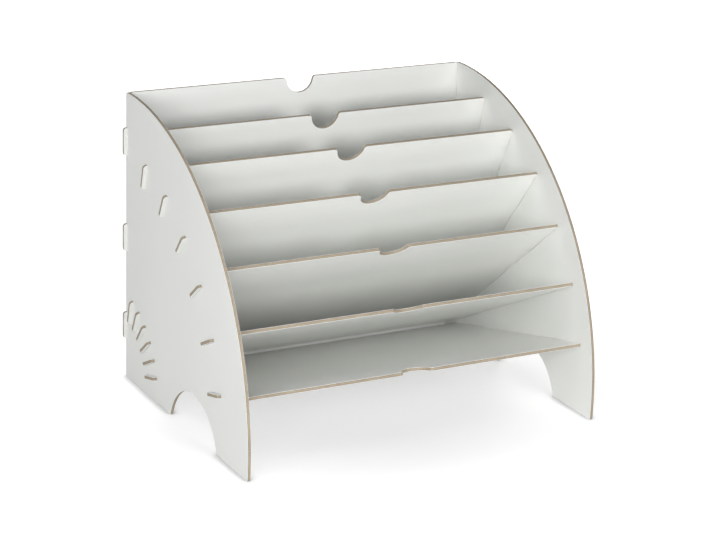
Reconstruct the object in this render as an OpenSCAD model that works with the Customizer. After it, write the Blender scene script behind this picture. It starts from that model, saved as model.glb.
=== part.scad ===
// Desk document organiser of slotted, white coated boards.
// Two quarter-round side panels and a back panel carry six boards that fan out
// from the rear foot like spokes: four dividers, an upper shelf and a bottom shelf.
// The front faces -Y, +X is to the right, and the origin is on the floor under the middle.

/* [Overall] */
// Width over the outer faces of the side panels
body_w = 330; // [250:1:400]
// Depth from the back panel's outer face to the front of the side panels
body_d = 254; // [235:1:290]
// Height of the side panels and of the back panel
body_h = 260; // [255:1:290]
// Thickness of every board
board_t = 3; // [2.5:0.1:4]

/* [Side panels] */
// Radius of the quarter-round front rim
rim_r = 247; // [220:1:252]
// Length of the rear foot on the floor
rear_foot_l = 99.5; // [85:0.5:110]
// Length of the front foot on the floor
front_foot_l = 59.5; // [45:0.5:70]
// Height of the arch between the feet
arch_h = 35.5; // [20:0.5:38]
// Rounding of the feet and of the free top corners
corner_r = 2; // [0.5:0.1:4]

/* [Fan of boards] */
// Angle between one board of the fan and the next
fan_step = 12.7; // [11.5:0.1:13.5]
// Height above the floor of the line that the fan spreads from
fan_lift = 4.6; // [3:0.1:9]
// Distance that the fan's front edges stay behind the body depth
front_setback = 14; // [8:0.5:30]
// Gap between the steepest board and the back panel
back_gap = 0.8; // [0.5:0.1:3]
// Rounding of the boards' front corners
board_corner_r = 2; // [0.5:0.1:5]

/* [Tabs] */
// Length of the tabs on the fan's boards
tab_l = 22.7; // [16:0.1:30]
// Distance from a board's front edge to its front tab
front_tab_in = 32.3; // [20:0.1:50]
// Distance from a board's rear edge to its rear tab
rear_tab_in = 25.4; // [18:0.1:40]
// Distance that every tab stands out of the side panel
tab_proud = 3.2; // [1.5:0.1:6]
// Rounding of the tabs' outer corners
tab_round = 2.8; // [0.5:0.1:4]
// Length of the tabs on the back panel
back_tab_l = 25; // [18:0.5:30]
// Height of the back panel's lowest tab, at its middle
back_tab_low = 48.5; // [40:0.5:60]
// Distance from the back panel's top to the middle of its highest tab
back_tab_drop = 43.5; // [35:0.5:60]

/* [Finger notches] */
// Radius of the round bottom of each finger notch
finger_r = 13; // [9:0.5:16]
// Depth of each finger notch
finger_depth = 14; // [10:0.5:17]
// Radius that eases the notch into the edge on both sides
finger_lip_r = 3; // [1:0.1:5]

/* [Fits] */
// Clearance on every side of a tab in its slot
slot_fit = 0.15; // [0.1:0.05:0.3]
// Clearance between a board's shoulders and the side panels
side_fit = 0.1; // [0.05:0.05:0.3]

/* [Hidden] */
$fn = 96;
// Overrun of every cut past the face that it opens
cut_over = 1;
// Places of the six boards in the fan, counted from the back
board_places = [1, 2, 3, 4, 5, 6];

// Quarter turn that the fan is measured from, with the back panel upright
quarter = 90;
half_turn = 180;
rear_y = body_d / 2;
inner_w = body_w - 2 * board_t;
board_w = inner_w - 2 * side_fit;
fan_front_r = body_d - front_setback;
steepest = fan_angle(board_places[0]);
// The rear edge of the steepest board just clears the back panel, and the rest match it
fan_rear_r = (board_t + back_gap + board_t / 2 * sin(steepest)) / cos(steepest);
front_tab_r = fan_front_r - front_tab_in - tab_l;
rear_tab_r = fan_rear_r + rear_tab_in;
arch_w = body_d - rear_foot_l - front_foot_l;
arch_r = (pow(arch_w / 2, 2) + pow(arch_h, 2)) / (2 * arch_h);
arch_mid = rear_foot_l + arch_w / 2;
tab_reach = side_fit + board_t + tab_proud;
tab_corner_r = min(tab_round, tab_proud, tab_l / 2);
back_tab_places = [back_tab_low, body_h / 2, body_h - back_tab_drop];
coat = [0.91, 0.92, 0.91];

// Angle above the floor of the board at a place in the fan
function fan_angle(place) = quarter - fan_step * place;

// What a radius takes off a square corner whose point is at the origin, inside +X and +Y
module corner_cut(r) {
    difference() {
        translate([-cut_over, -cut_over]) square(r + cut_over);
        translate([r, r]) circle(r = r);
    }
}

// Tab that grows along +X from the edge at x = 0 and is centred on y = 0
module tab_outline(l) {
    translate([0, -l / 2]) difference() {
        translate([-cut_over, 0]) square([tab_reach + cut_over, l]);
        translate([tab_reach, 0]) mirror([1, 0]) corner_cut(tab_corner_r);
        translate([tab_reach, l]) rotate(half_turn) corner_cut(tab_corner_r);
    }
}

// Finger notch cut down from the edge at y = 0: a round bottom with two eased lips
module finger_notch() {
    middle = finger_depth - finger_r;
    lip_x = sqrt(pow(finger_r + finger_lip_r, 2) - pow(finger_lip_r - middle, 2));
    // The lip circles touch the round bottom on the lines between their centres
    touch_share = finger_lip_r / (finger_r + finger_lip_r);
    touch_x = lip_x * (1 - touch_share);
    touch_y = -finger_lip_r + (finger_lip_r - middle) * touch_share;
    translate([0, -middle]) circle(r = finger_r);
    difference() {
        polygon([
            [-lip_x, cut_over], [lip_x, cut_over], [lip_x, 0],
            [touch_x, touch_y], [-touch_x, touch_y], [-lip_x, 0]
        ]);
        for (side = [-1, 1])
            translate([side * lip_x, -finger_lip_r]) circle(r = finger_lip_r);
    }
}

// Side panel seen from the right: x runs from the back panel's face to the front, y is height
module side_outline() {
    difference() {
        square([body_d, body_h]);
        translate([body_d, body_h]) rotate(half_turn) corner_cut(rim_r);
        corner_cut(corner_r);
        translate([body_d, 0]) mirror([1, 0]) corner_cut(corner_r);
        translate([0, body_h]) mirror([0, 1]) corner_cut(corner_r);
        translate([arch_mid, arch_h - arch_r]) circle(r = arch_r);
        for (z = back_tab_places)
            translate([-cut_over, z - back_tab_l / 2 - slot_fit])
                square([board_t + slot_fit + cut_over, back_tab_l + 2 * slot_fit]);
        for (place = board_places)
            translate([0, fan_lift]) rotate(fan_angle(place))
                for (r = [front_tab_r, rear_tab_r])
                    translate([r - slot_fit, -board_t / 2 - slot_fit])
                        square([tab_l + 2 * slot_fit, board_t + 2 * slot_fit]);
    }
}

// Board of the fan, flat: y is the distance from the line that the fan spreads from
module fan_outline() {
    difference() {
        union() {
            translate([-board_w / 2, fan_rear_r]) square([board_w, fan_front_r - fan_rear_r]);
            for (side = [0, 1], r = [front_tab_r, rear_tab_r])
                mirror([side, 0]) translate([board_w / 2, r + tab_l / 2]) tab_outline(tab_l);
        }
        translate([0, fan_front_r]) finger_notch();
        for (side = [0, 1])
            mirror([side, 0]) translate([board_w / 2, fan_front_r]) rotate(half_turn)
                corner_cut(board_corner_r);
    }
}

// Back panel seen from the front: x across, y is height
module back_outline() {
    difference() {
        union() {
            translate([-board_w / 2, 0]) square([board_w, body_h]);
            for (side = [0, 1], z = back_tab_places)
                mirror([side, 0]) translate([board_w / 2, z]) tab_outline(back_tab_l);
        }
        translate([0, body_h]) finger_notch();
        for (side = [0, 1])
            mirror([side, 0]) translate([board_w / 2, body_h]) rotate(half_turn)
                corner_cut(corner_r);
    }
}

// Stands a side panel up with its right-hand face at x
module side_panel(x) {
    translate([x, rear_y, 0]) rotate([quarter, 0, -quarter])
        linear_extrude(height = board_t) side_outline();
}

// Leans a board of the fan to the angle of its place
module fan_board(place) {
    translate([0, rear_y, fan_lift]) rotate([half_turn - fan_angle(place), 0, 0])
        linear_extrude(height = board_t, center = true) fan_outline();
}

module left_side_panel() {
    color(coat) side_panel(-inner_w / 2);
}

module right_side_panel() {
    color(coat) side_panel(body_w / 2);
}

module back_panel() {
    color(coat) translate([0, rear_y, 0]) rotate([quarter, 0, 0])
        linear_extrude(height = board_t) back_outline();
}

module divider_1() {
    color(coat) fan_board(board_places[0]);
}

module divider_2() {
    color(coat) fan_board(board_places[1]);
}

module divider_3() {
    color(coat) fan_board(board_places[2]);
}

module divider_4() {
    color(coat) fan_board(board_places[3]);
}

module upper_shelf() {
    color(coat) fan_board(board_places[4]);
}

module bottom_shelf() {
    color(coat) fan_board(board_places[5]);
}

left_side_panel();
right_side_panel();
back_panel();
divider_1();
divider_2();
divider_3();
divider_4();
upper_shelf();
bottom_shelf();
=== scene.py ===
import bpy
import numpy as np
from mathutils import Matrix, Vector
from mathutils.geometry import tessellate_polygon


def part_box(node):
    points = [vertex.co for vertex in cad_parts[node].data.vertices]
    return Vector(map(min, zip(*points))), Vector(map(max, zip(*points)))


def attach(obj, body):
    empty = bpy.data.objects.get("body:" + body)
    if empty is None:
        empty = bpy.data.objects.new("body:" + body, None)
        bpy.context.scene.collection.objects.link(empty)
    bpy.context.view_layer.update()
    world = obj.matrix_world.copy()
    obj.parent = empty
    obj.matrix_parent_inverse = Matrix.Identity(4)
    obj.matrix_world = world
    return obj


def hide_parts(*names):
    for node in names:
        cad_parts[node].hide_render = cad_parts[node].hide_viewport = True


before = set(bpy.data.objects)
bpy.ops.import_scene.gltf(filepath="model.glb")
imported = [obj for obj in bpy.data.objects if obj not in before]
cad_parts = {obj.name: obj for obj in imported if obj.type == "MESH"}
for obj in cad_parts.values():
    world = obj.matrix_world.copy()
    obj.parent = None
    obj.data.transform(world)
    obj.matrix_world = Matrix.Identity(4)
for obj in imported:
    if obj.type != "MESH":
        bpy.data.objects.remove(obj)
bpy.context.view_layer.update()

mm = 0.001
quarterTurn = 90             # degrees

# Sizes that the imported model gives
leftLow, leftHigh = (np.array(corner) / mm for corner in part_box("left_side_panel"))
rightLow, rightHigh = (np.array(corner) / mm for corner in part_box("right_side_panel"))
body = {
    "rearY": leftHigh[1],
    "depth": leftHigh[1] - leftLow[1],
    "height": leftHigh[2],
    "innerWidth": rightLow[0] - leftHigh[0],
    "board": leftHigh[0] - leftLow[0],
}
print("body from the frame:", {key: round(float(value), 2) for key, value in body.items()})


# Outlines

cutEdge = {
    "cornerRadius": 0.3,     # what a cutter leaves in a square corner
    "arris": 0.2,            # rounding between face and cut edge
    "arrisSteps": 4,
    "coat": 0.3,             # thickness of the white coating
    "coreSteps": 4,
    "sagitta": 0.004,        # how far a chord may miss its arc
    "fewestSteps": 4,        # chords in the shortest arc
    "sliver": 1e-9,          # face triangles with a smaller cross product are dropped
}


def cornerArcs(corners):
    # Corner rows x, y, radius to arc rows x, y, radius, start, turn. The arc touches both sides: it
    # starts radius * tan(turn / 2) before the corner, and its centre is one radius to that side.
    corners = np.asarray(corners, float)
    point, radius = corners[:, :2], corners[:, 2]
    into = point - np.roll(point, 1, axis=0)
    into /= np.linalg.norm(into, axis=1, keepdims=True)
    away = np.roll(into, -1, axis=0)
    turn = np.arctan2(into[:, 0] * away[:, 1] - into[:, 1] * away[:, 0], (into * away).sum(1))
    start = point - into * (radius * np.tan(np.abs(turn) / 2))[:, None]
    leftward = np.column_stack([-into[:, 1], into[:, 0]])
    centre = start + leftward * (np.sign(turn) * radius)[:, None]
    spoke = start - centre
    return np.column_stack([centre, radius, np.arctan2(spoke[:, 1], spoke[:, 0]), turn])


def arcPath(arcs):
    # Arc rows to a closed path of rows x, y, nx, ny: centre + radius * (cos a, sin a), with straight
    # sides between arcs. The normal out of the board is that direction on a left turn, else its
    # opposite. A chord of angle a misses its arc by radius * a^2 / 8, which sets the steps.
    rows = []
    for x, y, radius, start, turn in arcs:
        widest = np.sqrt(8 * cutEdge["sagitta"] / radius)
        steps = max(cutEdge["fewestSteps"], int(np.ceil(abs(turn) / widest)))
        angle = start + turn * np.linspace(0, 1, steps + 1)
        spoke = np.column_stack([np.cos(angle), np.sin(angle)])
        rows.append(np.hstack([[x, y] + radius * spoke, np.sign(turn) * spoke]))
    return np.vstack(rows)


def edgeProfile(half):
    # The cross-section from one face over the edge to the other, rows inset, depth, side, up. The
    # arris is a quarter circle, inset = r - r cos a and depth = half - r + r sin a, and the rest
    # is straight.
    r, coat = cutEdge["arris"], cutEdge["coat"]
    angle = np.linspace(np.pi / 2, 0, cutEdge["arrisSteps"] + 1)
    aside, up = np.cos(angle), np.sin(angle)
    arris = np.column_stack([r - r * aside, half - r + r * up, aside, up])
    depth = np.linspace(half - coat, coat - half, cutEdge["coreSteps"] + 1)
    straight = np.column_stack([np.zeros_like(depth), depth, np.ones_like(depth), np.zeros_like(depth)])
    return np.vstack([arris, straight, arris[::-1] * [1, -1, 1, -1]])


def edgeWall(path, profile, axes):
    # The cut edge along one path: U (x - nx inset) + V (y - ny inset) + W depth for each path point
    # and each profile row, with the normal side (nx U + ny V) + up W. The map is the length along
    # the path and the depth. The rim is where the edge meets the upper face.
    inset, depth, side, up = profile.T
    place, out = path[:, None, :2], path[:, None, 2:]
    flat = place - out * inset[None, :, None]
    count, rings = flat.shape[:2]
    local = np.dstack([flat, np.broadcast_to(depth, (count, rings))])
    lean = np.dstack([out * side[None, :, None], np.broadcast_to(up, (count, rings))])
    here = np.arange(count)[:, None] * rings + np.arange(rings - 1)[None, :]
    ahead = (np.arange(1, count + 1) % count)[:, None] * rings + np.arange(rings - 1)[None, :]
    step = np.linalg.norm(np.roll(path[:, :2], -1, axis=0) - path[:, :2], axis=1)
    along = np.concatenate([[0], np.cumsum(step)])
    u = np.stack([along[:-1], along[:-1], along[1:], along[1:]], -1)[:, None].repeat(rings - 1, 1)
    v = np.stack([depth[:-1], depth[1:], depth[1:], depth[:-1]], -1)[None].repeat(count, 0)
    return {
        "points": (local @ axes).reshape(-1, 3),
        "normals": (lean @ axes).reshape(-1, 3),
        "quads": np.stack([here, here + 1, ahead + 1, ahead], -1).reshape(-1, 4),
        "map": np.stack([u, v], -1).reshape(-1, 2),
        "rim": flat[:, 0],
    }


def faceTriangles(rims):
    # Triangles that fill the outline's rim less its holes, all turned the same way. The numbers in
    # them count the points of all rims on end.
    loops = [np.c_[rim, np.zeros(len(rim))].tolist() for rim in rims]
    fill = np.array(tessellate_polygon(loops))
    corner = np.vstack(rims)[fill]
    edgeA, edgeB = corner[:, 1] - corner[:, 0], corner[:, 2] - corner[:, 0]
    area = edgeA[:, 0] * edgeB[:, 1] - edgeA[:, 1] * edgeB[:, 0]
    return np.where(area[:, None] < 0, fill[:, ::-1], fill)[np.abs(area) > cutEdge["sliver"]]


def cutBoard(name, paths, origin, axes, material):
    # One board: the cut edge along the outline and round each hole, and the two faces between them.
    # Each rim point is the first of its row of profile points, and the lower face uses the last.
    profile = edgeProfile(body["board"] / 2)
    depth, rings = profile[:, 1], len(profile)
    walls = [edgeWall(path, profile, axes) for path in paths]
    firsts = np.cumsum([0] + [len(wall["points"]) for wall in walls[:-1]])
    points = np.vstack([wall["points"] for wall in walls]) + origin
    normals = np.vstack([wall["normals"] for wall in walls])
    quads = np.vstack([first + wall["quads"] for first, wall in zip(firsts, walls)])
    rims = [wall["rim"] for wall in walls]
    fill = faceTriangles(rims)
    upper, lower = fill * rings, fill[:, ::-1] * rings + rings - 1
    flat = np.vstack(rims)
    faceMaps = [flat[fill].reshape(-1, 2), flat[fill[:, ::-1]].reshape(-1, 2)]
    spread = np.vstack([wall["map"] for wall in walls] + faceMaps) * mm

    mesh = bpy.data.meshes.new(name)
    mesh.from_pydata((points * mm).tolist(), [], quads.tolist() + upper.tolist() + lower.tolist())
    mesh.uv_layers.new(name="boardMap").data.foreach_set("uv", spread.ravel().astype(np.float32))
    depths = np.tile(depth, len(points) // rings).astype(np.float32)
    mesh.attributes.new("depth", "FLOAT", "POINT").data.foreach_set("value", depths)
    mesh.polygons.foreach_set("use_smooth", np.ones(len(mesh.polygons), bool))
    mesh.update()
    mesh.normals_split_custom_set_from_vertices(normals.tolist())
    mesh.materials.append(material)
    board = bpy.data.objects.new(name, mesh)
    bpy.context.scene.collection.objects.link(board)
    return board


def placeFor(node, board):
    # What every board does: it rides with the one body and stands for its solid
    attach(board, "root")
    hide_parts(node)


# Node helpers


def makeGroup(name, inputs, outputs):
    # An empty node group with sockets of the given labels and kinds, given back with the sockets
    # that come in and those that go out
    group = bpy.data.node_groups.new(name, "ShaderNodeTree")
    for way, sockets in (("INPUT", inputs), ("OUTPUT", outputs)):
        for label, kind in sockets.items():
            group.interface.new_socket(label, in_out=way, socket_type="NodeSocket" + kind)
    return group, group.nodes.new("NodeGroupInput").outputs, group.nodes.new("NodeGroupOutput").inputs


def useGroup(tree, group, values):
    # Puts a group into a material and feeds its inputs
    node = tree.nodes.new("ShaderNodeGroup")
    node.node_tree = group
    for label, value in values.items():
        feed(tree, node.inputs[label], value)
    return node.outputs


def feed(tree, socket, value):
    # A socket takes a link from another socket, or a plain value
    if isinstance(value, bpy.types.NodeSocket):
        tree.links.new(value, socket)
    else:
        socket.default_value = value


def calc(tree, operation, *values, clamp=False):
    # One maths node: the operation on its values in order
    node = tree.nodes.new("ShaderNodeMath")
    node.operation = operation
    node.use_clamp = clamp
    for socket, value in zip(node.inputs, values):
        feed(tree, socket, value)
    return node.outputs[0]


def vectorCalc(tree, operation, *values):
    # One vector maths node, given back as its two outputs Vector and Value
    node = tree.nodes.new("ShaderNodeVectorMath")
    node.operation = operation
    for socket, value in zip(node.inputs, values):
        feed(tree, socket, value)
    return node.outputs


def noise(tree, vector, scale, detail=2.0, roughness=0.5, stretch=(1, 1, 1), shift=(0, 0, 0)):
    # Fractal noise of vector * stretch + shift: a feature is about 1 / scale metres
    mapping = tree.nodes.new("ShaderNodeMapping")
    feed(tree, mapping.inputs["Vector"], vector)
    mapping.inputs["Scale"].default_value = stretch
    feed(tree, mapping.inputs["Location"], shift)
    node = tree.nodes.new("ShaderNodeTexNoise")
    tree.links.new(mapping.outputs[0], node.inputs["Vector"])
    node.inputs["Scale"].default_value = scale
    node.inputs["Detail"].default_value = detail
    node.inputs["Roughness"].default_value = roughness
    return node.outputs["Fac"]


def ramp(tree, value, low, high, toLow=0.0, toHigh=1.0):
    # toLow + (toHigh - toLow) * (3 t^2 - 2 t^3), where t runs from low to high and stays inside them
    node = tree.nodes.new("ShaderNodeMapRange")
    node.interpolation_type = "SMOOTHSTEP"
    labels = ("Value", "From Min", "From Max", "To Min", "To Max")
    for label, number in zip(labels, (value, low, high, toLow, toHigh)):
        feed(tree, node.inputs[label], number)
    return node.outputs[0]


def mix(tree, kind, share, first, second):
    # first * (1 - share) + second * share, where the kind is Color or Float
    node = tree.nodes.new("ShaderNodeMix")
    node.data_type = {"Color": "RGBA", "Float": "FLOAT"}[kind]
    sockets = {socket.identifier: socket for socket in (*node.inputs, *node.outputs)}
    feed(tree, sockets["Factor_Float"], share)
    feed(tree, sockets["A_" + kind], first)
    feed(tree, sockets["B_" + kind], second)
    return sockets["Result_" + kind]


# Patterns that the boards share

noiseMiddle = 0.5
lineTexture = {
    "fine": {"scale": 2600.0, "detail": 2.0},
    "chips": {"scale": 420.0, "detail": 3.0, "roughness": 0.6},
    "chipped": (0.66, 0.74),     # the noise where a chip begins, and where it is whole
    "chipDepth": 1.6,            # times the raggedness
    "softness": 0.02,            # millimetres on each side of the line
}


def cutGroup():
    # Where the fibre shows: |depth| under half the board less the coating, with a ragged coating
    # line. Layer is |depth| as a share of that half.
    tree, given, out = makeGroup(
        "coatingLine",
        {"Vector": "Vector", "Depth": "Float", "Core Half": "Float", "Ragged": "Float"},
        {"Core": "Float", "Layer": "Float"})
    away = calc(tree, "ABSOLUTE", given["Depth"])
    fine = noise(tree, given["Vector"], **lineTexture["fine"])
    chips = ramp(tree, noise(tree, given["Vector"], **lineTexture["chips"]), *lineTexture["chipped"])
    chipDepth = calc(tree, "MULTIPLY", given["Ragged"], lineTexture["chipDepth"])
    wander = calc(tree, "MULTIPLY", calc(tree, "SUBTRACT", fine, noiseMiddle), given["Ragged"])
    wander = calc(tree, "MULTIPLY_ADD", chips, chipDepth, wander)
    inside = calc(tree, "SUBTRACT", calc(tree, "ADD", given["Core Half"], wander), away)
    core = ramp(tree, inside, -lineTexture["softness"], lineTexture["softness"])
    tree.links.new(core, out["Core"])
    tree.links.new(calc(tree, "DIVIDE", away, given["Core Half"], clamp=True), out["Layer"])
    return tree


fibreTexture = {
    "speckle": {"scale": 1300.0, "detail": 4.0, "roughness": 0.62},
    "fibre": {"scale": 3800.0, "detail": 3.0, "roughness": 0.7},
    "fibreRange": (0.34, 0.7),
    "patch": {"scale": 70.0, "detail": 2.0},
    "marks": {"scale": 1500.0, "detail": 2.0, "roughness": 0.6, "stretch": (1, 0.12, 0)},
    "marksRange": (0.48, 0.75),
    "tones": {"speckle": 0.7, "fibre": 0.36, "patch": 0.3, "dense": 0.34},
    "densePower": 2.5,           # how fast the board gets denser towards its faces
    "toneRange": (0.1, 0.85),
    "relief": {"speckle": 0.03, "fibre": 0.012, "marks": 0.06},     # millimetres
}


def fibreGroup():
    # Fibreboard: speckle * tone + fibre * tone + patch * tone, less Layer^densePower * tone towards
    # both faces and less the marks of the cut across the edge, runs from Dark to Light
    tree, given, out = makeGroup(
        "fibreboard",
        {"Vector": "Vector", "Along": "Vector", "Layer": "Float", "Cut Marks": "Float",
         "Light": "Color", "Dark": "Color"},
        {"Color": "Color", "Height": "Float"})
    tones, relief = fibreTexture["tones"], fibreTexture["relief"]
    speckle = noise(tree, given["Vector"], **fibreTexture["speckle"])
    thread = noise(tree, given["Vector"], **fibreTexture["fibre"])
    fibre = ramp(tree, thread, *fibreTexture["fibreRange"])
    patch = noise(tree, given["Vector"], **fibreTexture["patch"])
    marks = noise(tree, given["Along"], **fibreTexture["marks"])
    packed = calc(tree, "POWER", given["Layer"], fibreTexture["densePower"])
    cuts = calc(tree, "MULTIPLY", ramp(tree, marks, *fibreTexture["marksRange"]), given["Cut Marks"])
    tone = calc(tree, "MULTIPLY", fibre, tones["fibre"])
    tone = calc(tree, "MULTIPLY_ADD", speckle, tones["speckle"], tone)
    tone = calc(tree, "MULTIPLY_ADD", patch, tones["patch"], tone)
    tone = calc(tree, "SUBTRACT", tone, calc(tree, "MULTIPLY", packed, tones["dense"]))
    tone = calc(tree, "SUBTRACT", tone, cuts)
    share = ramp(tree, tone, *fibreTexture["toneRange"])
    tree.links.new(mix(tree, "Color", share, given["Dark"], given["Light"]), out["Color"])
    height = calc(tree, "MULTIPLY", speckle, relief["speckle"])
    height = calc(tree, "MULTIPLY_ADD", fibre, relief["fibre"], height)
    depth = calc(tree, "MULTIPLY", given["Cut Marks"], relief["marks"])
    tree.links.new(calc(tree, "MULTIPLY_ADD", marks, depth, height), out["Height"])
    return tree


coatingTexture = {
    "cloud": {"scale": 9.0, "detail": 3.0, "roughness": 0.55},
    "grain": {"scale": 900.0, "detail": 3.0, "roughness": 0.6},
    "wiped": {"scale": 16.0, "detail": 4.0, "roughness": 0.6, "stretch": (1, 1, 0.35)},
    "peel": {"scale": 620.0, "detail": 2.0, "roughness": 0.5},
    "sag": {"scale": 22.0, "detail": 1.0, "roughness": 0.4},
    "tones": {"cloud": 0.8, "grain": 0.3},
    "toneRange": (0.3, 0.85),
    "wipedRange": (0.3, 0.7),
    "relief": {"peel": 0.004, "sag": 0.05},     # millimetres
}


def coatingGroup():
    # Lacquered film over the board: cloud and grain run from White to Cloud, wiped patches from
    # Sheen Low to Sheen High, and peel and sag give the height
    tree, given, out = makeGroup(
        "whiteCoating",
        {"Vector": "Vector", "Seed": "Vector", "White": "Color", "Cloud": "Color",
         "Sheen Low": "Float", "Sheen High": "Float"},
        {"Color": "Color", "Roughness": "Float", "Height": "Float"})
    tones, relief = coatingTexture["tones"], coatingTexture["relief"]
    cloud = noise(tree, given["Vector"], **coatingTexture["cloud"], shift=given["Seed"])
    grain = noise(tree, given["Vector"], **coatingTexture["grain"])
    wiped = noise(tree, given["Vector"], **coatingTexture["wiped"], shift=given["Seed"])
    peel = noise(tree, given["Vector"], **coatingTexture["peel"])
    sag = noise(tree, given["Vector"], **coatingTexture["sag"], shift=given["Seed"])
    clouded = calc(tree, "MULTIPLY", cloud, tones["cloud"])
    tone = calc(tree, "MULTIPLY_ADD", grain, tones["grain"], clouded)
    share = ramp(tree, tone, *coatingTexture["toneRange"])
    tree.links.new(mix(tree, "Color", share, given["White"], given["Cloud"]), out["Color"])
    sheen = ramp(tree, wiped, *coatingTexture["wipedRange"], given["Sheen Low"], given["Sheen High"])
    tree.links.new(sheen, out["Roughness"])
    height = calc(tree, "MULTIPLY_ADD", peel, relief["peel"], calc(tree, "MULTIPLY", sag, relief["sag"]))
    tree.links.new(height, out["Height"])
    return tree


dustTexture = {
    "cells": 90.0,               # specks that may lie along a metre
    "speck": (0.02, 0.035),      # distances from a cell's point where it is whole, and gone
    "chosen": {"scale": 30.0, "detail": 1.0},
    "chosenRange": (0.58, 0.64),
}


def dustGroup():
    # Rare fine specks of dust and board flour: cells of which only the nearest to their points show,
    # where a coarse noise is high
    tree, given, out = makeGroup("boardDust", {"Vector": "Vector", "Amount": "Float"}, {"Mask": "Float"})
    cells = tree.nodes.new("ShaderNodeTexVoronoi")
    cells.inputs["Scale"].default_value = dustTexture["cells"]
    tree.links.new(given["Vector"], cells.inputs["Vector"])
    spot = ramp(tree, cells.outputs["Distance"], *dustTexture["speck"], 1.0, 0.0)
    coarse = noise(tree, given["Vector"], **dustTexture["chosen"])
    chosen = ramp(tree, coarse, *dustTexture["chosenRange"])
    specks = calc(tree, "MULTIPLY", spot, chosen)
    tree.links.new(calc(tree, "MULTIPLY", specks, given["Amount"]), out["Mask"])
    return tree


coatingLine = cutGroup()
fibreboard = fibreGroup()
whiteCoating = coatingGroup()
boardDust = dustGroup()
print("node groups made")

boardLook = {
    "white": (0.908, 0.917, 0.89, 1),
    "cloud": (0.893, 0.902, 0.872, 1),
    "sheen": (0.38, 0.46),       # roughness of the coating, from its low to its high
    "fibreLight": (0.5, 0.423, 0.318, 1),
    "fibreDark": (0.2, 0.156, 0.105, 1),
    "fibreSheen": 0.85,          # roughness of the cut
    "specular": 0.4,
    "ragged": 0.05,              # millimetres that the coating line wanders
    "cutMarks": 0.22,
    "dust": 0.45,
    "dustColour": (0.42, 0.38, 0.33, 1),
    "seed": (0.0, 0.0, 0.0),     # moves the clouds, so that boards differ
}


def boardMaterial(name, look):
    # Coating where the coating is, fibre in the cut between the two coatings, both in one satin
    # shader. The heights are in millimetres.
    material = bpy.data.materials.new(name)
    material.use_nodes = True
    tree = material.node_tree
    shader = tree.nodes["Principled BSDF"]
    where = tree.nodes.new("ShaderNodeTexCoord").outputs["Object"]
    along = tree.nodes.new("ShaderNodeUVMap")
    along.uv_map = "boardMap"
    depth = tree.nodes.new("ShaderNodeAttribute")
    depth.attribute_name = "depth"
    line = useGroup(tree, coatingLine, {
        "Vector": where, "Depth": depth.outputs["Fac"], "Ragged": look["ragged"],
        "Core Half": float(body["board"] / 2 - cutEdge["coat"])})
    fibre = useGroup(tree, fibreboard, {
        "Vector": where, "Along": along.outputs[0], "Layer": line["Layer"],
        "Light": look["fibreLight"], "Dark": look["fibreDark"], "Cut Marks": look["cutMarks"]})
    coating = useGroup(tree, whiteCoating, {
        "Vector": where, "Seed": look["seed"], "White": look["white"], "Cloud": look["cloud"],
        "Sheen Low": look["sheen"][0], "Sheen High": look["sheen"][1]})
    dust = useGroup(tree, boardDust, {"Vector": where, "Amount": look["dust"]})
    core = line["Core"]
    speckled = mix(tree, "Color", dust["Mask"], coating["Color"], look["dustColour"])
    feed(tree, shader.inputs["Base Color"], mix(tree, "Color", core, speckled, fibre["Color"]))
    roughness = mix(tree, "Float", core, coating["Roughness"], look["fibreSheen"])
    feed(tree, shader.inputs["Roughness"], roughness)
    bump = tree.nodes.new("ShaderNodeBump")
    bump.inputs["Distance"].default_value = mm
    feed(tree, bump.inputs["Height"], mix(tree, "Float", core, coating["Height"], fibre["Height"]))
    tree.links.new(bump.outputs[0], shader.inputs["Normal"])
    shader.inputs["Specular IOR Level"].default_value = look["specular"]
    return material


sideMaterial = boardMaterial("sidePanelBoard", boardLook)
fanMaterial = boardMaterial("fanBoard", {**boardLook, "seed": (0.7, 0.2, 0.4), "sheen": (0.36, 0.44)})
backMaterial = boardMaterial("backPanelBoard", {**boardLook, "seed": (0.1, 0.9, 0.6), "cutMarks": 0.18})
print("materials made")


# Boards

fan = {
    "step": 12.7,            # degrees between boards
    "lift": 4.6,
    "setback": 14,
    "backGap": 0.8,
    "frontCorner": 2,
    "tabLength": 22.7,
    "frontTabIn": 32.3,
    "rearTabIn": 25.4,
    "boards": {
        "divider_1": "dividerBoard1",
        "divider_2": "dividerBoard2",
        "divider_3": "dividerBoard3",
        "divider_4": "dividerBoard4",
        "upper_shelf": "upperShelfBoard",
        "bottom_shelf": "bottomShelfBoard",
    },
}
tabs = {
    "proud": 3.2,
    "corner": 2.8,
    "sideFit": 0.1,
    "slotFit": 0.15,
}
sidePanel = {
    "rimRadius": 247,
    "rearFoot": 99.5,
    "frontFoot": 59.5,
    "archHeight": 35.5,
    "corner": 2,
}
backPanel = {
    "tabLength": 25,
    "lowTab": 48.5,
    "topTabDrop": 43.5,
    "corner": 2,
}
finger = {
    "radius": 13,
    "depth": 14,
    "lip": 3,
}


def boardAngle(place):
    # Angle above the floor of the board at a place in the fan: a quarter turn less place steps
    return np.radians(quarterTurn - fan["step"] * place)


square = cutEdge["cornerRadius"]
boardHalf = body["innerWidth"] / 2 - tabs["sideFit"]
tabReach = tabs["sideFit"] + body["board"] + tabs["proud"]
steepest = boardAngle(1)
clearOfBack = body["board"] + fan["backGap"] + body["board"] / 2 * np.sin(steepest)
fan["rearR"] = clearOfBack / np.cos(steepest)
fan["frontR"] = body["depth"] - fan["setback"]
fan["tabStarts"] = [
    fan["rearR"] + fan["rearTabIn"],
    fan["frontR"] - fan["frontTabIn"] - fan["tabLength"],
]
backPanel["tabStarts"] = [
    middle - backPanel["tabLength"] / 2
    for middle in (backPanel["lowTab"], body["height"] / 2, body["height"] - backPanel["topTabDrop"])
]


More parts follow.
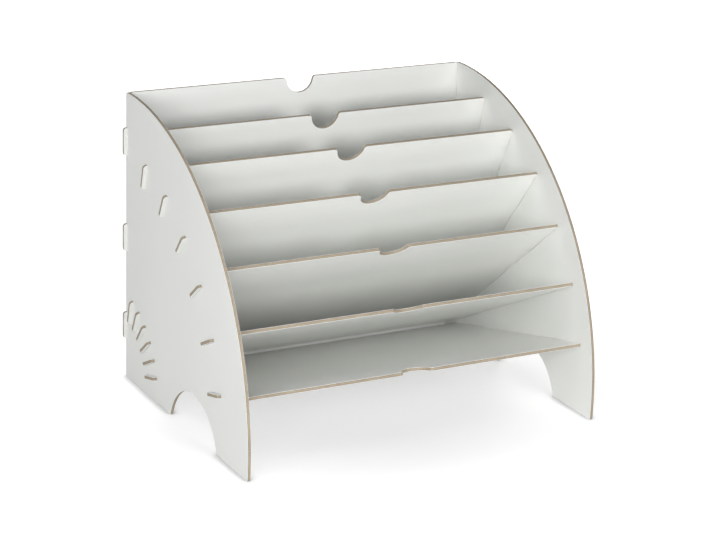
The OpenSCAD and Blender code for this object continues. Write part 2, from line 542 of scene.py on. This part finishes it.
def tabbedSide(starts, length):
    # Corner rows up the right-hand side of a board, with a tab from each start
    rows = []
    for low in starts:
        high = low + length
        rows += [(boardHalf, low, square), (boardHalf + tabReach, low, tabs["corner"]),
                 (boardHalf + tabReach, high, tabs["corner"]), (boardHalf, high, square)]
    return np.array(rows)


def fingerArcs(edge):
    # Right lip, round bottom and left lip of the notch in an edge at y = edge. The lip circles touch
    # the bottom circle on the lines between their centres, and their middles lie
    # lipX = sqrt((wide + r)^2 - (r - middle)^2) aside.
    wide, r = finger["radius"], finger["lip"]
    middle = finger["depth"] - wide
    lipX = np.sqrt((wide + r) ** 2 - (r - middle) ** 2)
    tilt = np.arctan2(r - middle, lipX)
    lipTurn = np.pi / 2 - tilt
    return np.array([
        (lipX, edge - r, r, np.pi / 2, lipTurn),
        (0, edge - middle, wide, -tilt, 2 * tilt - np.pi),
        (-lipX, edge - r, r, tilt, lipTurn),
    ])


def tabbedBoard(low, high, starts, length, rounding):
    # Closed outline of a board between two side panels, with the finger notch in its far edge
    right = tabbedSide(starts, length)
    left = right[::-1] * [-1, 1, 1]
    ends = [[(-boardHalf, low, square), (boardHalf, low, square)], right, [(boardHalf, high, rounding)]]
    before = sum(len(rows) for rows in ends)
    arcs = cornerArcs(np.vstack([*ends, [(-boardHalf, high, rounding)], left]))
    return arcPath(np.vstack([arcs[:before], fingerArcs(high), arcs[before:]]))


def archArcs():
    # Front foot's corner, the arch and the rear foot's corner. The small circles stand on the floor
    # and touch the arch circle from outside, sqrt((wide + r)^2 - (r - z)^2) from its middle. The
    # arch is wide = (half width^2 + height^2) / (2 height) in radius.
    width = body["depth"] - sidePanel["rearFoot"] - sidePanel["frontFoot"]
    wide = ((width / 2) ** 2 + sidePanel["archHeight"] ** 2) / (2 * sidePanel["archHeight"])
    z = sidePanel["archHeight"] - wide
    y = body["rearY"] - sidePanel["rearFoot"] - width / 2
    r = square
    aside = np.sqrt((wide + r) ** 2 - (r - z) ** 2)
    tilt = np.arctan2(r - z, aside)
    return np.array([
        (y - aside, r, r, -np.pi / 2, np.pi / 2 - tilt),
        (y, z, wide, np.pi - tilt, 2 * tilt - np.pi),
        (y + aside, r, r, np.pi + tilt, np.pi / 2 - tilt),
    ])


def slotPath(place, low):
    # Slot round one tab in y, z: a rectangle leant to the board's angle, with its corners in the
    # other order than the outline's as it is a hole
    angle, fit = boardAngle(place), tabs["slotFit"]
    near, far = low - fit, low + fan["tabLength"] + fit
    half = body["board"] / 2 + fit
    corners = np.array([(near, -half), (near, half), (far, half), (far, -half)])
    outward = np.array([-np.cos(angle), np.sin(angle)])
    across = np.array([-np.sin(angle), -np.cos(angle)])
    points = corners[:, :1] * outward + corners[:, 1:] * across + [body["rearY"], fan["lift"]]
    return arcPath(cornerArcs(np.column_stack([points, np.full(len(corners), square)])))


def sidePaths():
    # Outline of a side panel in y, z with its rear notches, then the twelve slots
    front, rear, top = body["rearY"] - body["depth"], body["rearY"], body["height"]
    notch = rear - body["board"] - tabs["slotFit"]
    corners = [(front, 0, sidePanel["corner"]), (rear, 0, sidePanel["corner"])]
    for low in backPanel["tabStarts"]:
        down, up = low - tabs["slotFit"], low + backPanel["tabLength"] + tabs["slotFit"]
        corners += [(rear, down, square), (notch, down, square), (notch, up, square), (rear, up, square)]
    corners += [(rear, top, sidePanel["corner"]), (front, top, sidePanel["rimRadius"])]
    arcs = cornerArcs(corners)
    outer = arcPath(np.vstack([arcs[:1], archArcs(), arcs[1:]]))
    places = range(1, len(fan["boards"]) + 1)
    return [outer] + [slotPath(place, low) for place in places for low in fan["tabStarts"]]


panelPaths = sidePaths()
panelAxes = np.array([(0, 1, 0), (0, 0, 1), (1, 0, 0)])
for node, name, low, high in (("left_side_panel", "leftSideBoard", leftLow, leftHigh),
                              ("right_side_panel", "rightSideBoard", rightLow, rightHigh)):
    middle = np.array([(low[0] + high[0]) / 2, 0, 0])
    placeFor(node, cutBoard(name, panelPaths, middle, panelAxes, sideMaterial))
print("side panels made")

backPath = tabbedBoard(0, body["height"], backPanel["tabStarts"], backPanel["tabLength"],
                       backPanel["corner"])
backAxes = np.array([(1, 0, 0), (0, 0, 1), (0, -1, 0)])
backMiddle = np.array([0, body["rearY"] - body["board"] / 2, 0])
placeFor("back_panel", cutBoard("backBoard", [backPath], backMiddle, backAxes, backMaterial))
print("back panel made")

fanPath = tabbedBoard(fan["rearR"], fan["frontR"], fan["tabStarts"], fan["tabLength"],
                      fan["frontCorner"])
fanMiddle = np.array([0, body["rearY"], fan["lift"]])
for place, (node, name) in enumerate(fan["boards"].items(), 1):
    angle = boardAngle(place)
    outward = (0, -np.cos(angle), np.sin(angle))
    under = (0, -np.sin(angle), -np.cos(angle))
    fanAxes = np.array([(1, 0, 0), outward, under])
    placeFor(node, cutBoard(name, [fanPath], fanMiddle, fanAxes, fanMaterial))
print("fan of boards made")


# Stage, light and camera, in metres

stage = {
    "floorSize": 24.0,
    "bounceWhite": 0.88,
    "seenWhite": 0.5,
    "shadowPoolGlow": 0.489,       # painted shadow pool: what the backdrop adds round the object, lower there, and far from it
    "farGlow": 1.0,
    "nearDistance": 0.06,
    "farDistance": 0.275,
    "glowShift": (0.0, 0.02, 0.0),
    "glowStretch": (0.77, 1.0, 1.0),
    "contactReach": 0.01,    # painted contact shadow: the glow is darkened in the corners at the feet
    "paintedContactShade": 0.75,
    "contactFull": 0.4,      # the share of open sky where that shade is whole
    "contactSamples": 16,
}
lampAim = (0, 0, 0.1)
lamps = [
    {"name": "leftSoftbox", "place": (-1.7, -0.8, 0.6), "size": 0.8, "power": 6.5},
    {"name": "leftFill", "place": (-0.75, -0.95, 0.42), "size": 0.5, "power": 4.8},
    {"name": "frontSoftbox", "place": (0.15, -1.3, 0.5), "size": 0.6, "power": 8.4},
    {"name": "highSoftbox", "place": (-1.0, -0.25, 1.6), "size": 1.1, "power": 7.0},
    {"name": "rearSoftbox", "place": (1.3, 1.4, 0.55), "size": 0.9, "power": 19},
]
camera = {
    "place": (-0.8846, -1.6237, 0.7411),
    "turn": 28.526,          # degrees to the right of straight back
    "down": 18.632,
    "roll": 1.998,
    "focalPixels": 2262.4,
    "imageWidth": 716,
    "sensorWidth": 36,       # millimetres
    "clipEnd": 60,
}


def seenAsBackdrop(tree):
    # One for camera, glossy and transmitted rays
    rays = tree.nodes.new("ShaderNodeLightPath").outputs
    seen = calc(tree, "MAXIMUM", rays["Is Camera Ray"], rays["Is Glossy Ray"])
    return calc(tree, "MAXIMUM", seen, rays["Is Transmission Ray"])


def floorGlowWithPaintedShadow(tree):
    # Rises from the glow near the object to farGlow with |(place + glowShift) * glowStretch|, a painted
    # shadow pool round the object, less a painted contact shadow where the object stands on the floor
    where = tree.nodes.new("ShaderNodeTexCoord").outputs["Object"]
    place = vectorCalc(tree, "ADD", where, stage["glowShift"])["Vector"]
    stretched = vectorCalc(tree, "MULTIPLY", place, stage["glowStretch"])["Vector"]
    away = vectorCalc(tree, "LENGTH", stretched)["Value"]
    # painted shadow pool: the glow is darker near the object, as its shadow on the floor
    glowWithShadowPool = ramp(tree, away, stage["nearDistance"], stage["farDistance"],
                      stage["shadowPoolGlow"], stage["farGlow"])
    # painted contact shadow: occlusion at the feet lowers the glow
    contact = tree.nodes.new("ShaderNodeAmbientOcclusion")
    contact.samples = stage["contactSamples"]
    contact.inputs["Distance"].default_value = stage["contactReach"]
    kept = ramp(tree, contact.outputs["AO"], stage["contactFull"], 1.0,
                1.0 - stage["paintedContactShade"], 1.0)
    return calc(tree, "MULTIPLY", kept, glowWithShadowPool)


def greyDiffuse(tree, white):
    # A plain diffuse shader of one grey
    node = tree.nodes.new("ShaderNodeBsdfDiffuse")
    node.inputs["Color"].default_value = (white, white, white, 1)
    return node.outputs[0]


def makeFloor():
    # A square of bounceWhite to the light that it bounces. The backdrop rays see seenWhite and the
    # glow added up, and that glow holds a painted shadow round the object and at its feet.
    half = stage["floorSize"] / 2
    mesh = bpy.data.meshes.new("floor")
    corners = [(-half, -half, 0), (half, -half, 0), (half, half, 0), (-half, half, 0)]
    mesh.from_pydata(corners, [], [(0, 1, 2, 3)])
    floor = bpy.data.objects.new("floor", mesh)
    bpy.context.scene.collection.objects.link(floor)
    material = bpy.data.materials.new("paleFloor")
    material.use_nodes = True
    tree = material.node_tree
    tree.nodes.remove(tree.nodes["Principled BSDF"])
    glow = tree.nodes.new("ShaderNodeEmission")
    feed(tree, glow.inputs["Strength"], floorGlowWithPaintedShadow(tree))
    both, pick = tree.nodes.new("ShaderNodeAddShader"), tree.nodes.new("ShaderNodeMixShader")
    feed(tree, both.inputs[0], greyDiffuse(tree, stage["seenWhite"]))
    feed(tree, both.inputs[1], glow.outputs[0])
    feed(tree, pick.inputs[0], seenAsBackdrop(tree))
    feed(tree, pick.inputs[1], greyDiffuse(tree, stage["bounceWhite"]))
    feed(tree, pick.inputs[2], both.outputs[0])
    tree.links.new(pick.outputs[0], tree.nodes["Material Output"].inputs["Surface"])
    mesh.materials.append(material)


def makeWorld():
    # White behind everything for the backdrop rays, and no light on the object
    world = bpy.data.worlds.new("studio")
    world.use_nodes = True
    tree = world.node_tree
    backdrop = tree.nodes["Background"]
    backdrop.inputs["Color"].default_value = (1, 1, 1, 1)
    tree.links.new(seenAsBackdrop(tree), backdrop.inputs["Strength"])
    bpy.context.scene.world = world


def makeLamp(lamp):
    # Round softbox of the given width, turned from its place to where all lamps aim
    light = bpy.data.lights.new(lamp["name"], "AREA")
    light.shape = "DISK"
    light.size = lamp["size"]
    light.energy = lamp["power"]
    holder = bpy.data.objects.new(lamp["name"], light)
    holder.location = lamp["place"]
    facing = Vector(lampAim) - Vector(lamp["place"])
    holder.rotation_euler = facing.to_track_quat("-Z", "Y").to_euler()
    holder.visible_camera = False
    bpy.context.scene.collection.objects.link(holder)


def makeCamera():
    # Looks along (sin turn cos down, cos turn cos down, -sin down), then rolls about that line
    turn, down, roll = np.radians([camera["turn"], camera["down"], camera["roll"]])
    ahead = np.array([np.sin(turn) * np.cos(down), np.cos(turn) * np.cos(down), -np.sin(down)])
    level = np.array([np.cos(turn), -np.sin(turn), 0])
    upright = np.cross(level, ahead)
    right = np.cos(roll) * level + np.sin(roll) * upright
    up = np.cos(roll) * upright - np.sin(roll) * level
    lens = bpy.data.cameras.new("photoCamera")
    lens.sensor_fit = "HORIZONTAL"
    lens.sensor_width = camera["sensorWidth"]
    lens.lens = camera["focalPixels"] / camera["imageWidth"] * lens.sensor_width
    lens.clip_end = camera["clipEnd"]
    holder = bpy.data.objects.new("photoCamera", lens)
    facing = Matrix(np.array([right, up, -ahead]).T.tolist()).to_4x4()
    holder.matrix_world = Matrix.Translation(camera["place"]) @ facing
    bpy.context.scene.collection.objects.link(holder)
    bpy.context.scene.camera = holder


makeFloor()
makeWorld()
for lamp in lamps:
    makeLamp(lamp)
makeCamera()
bpy.context.scene.view_settings.view_transform = "Standard"
print("stage, lamps and camera made")
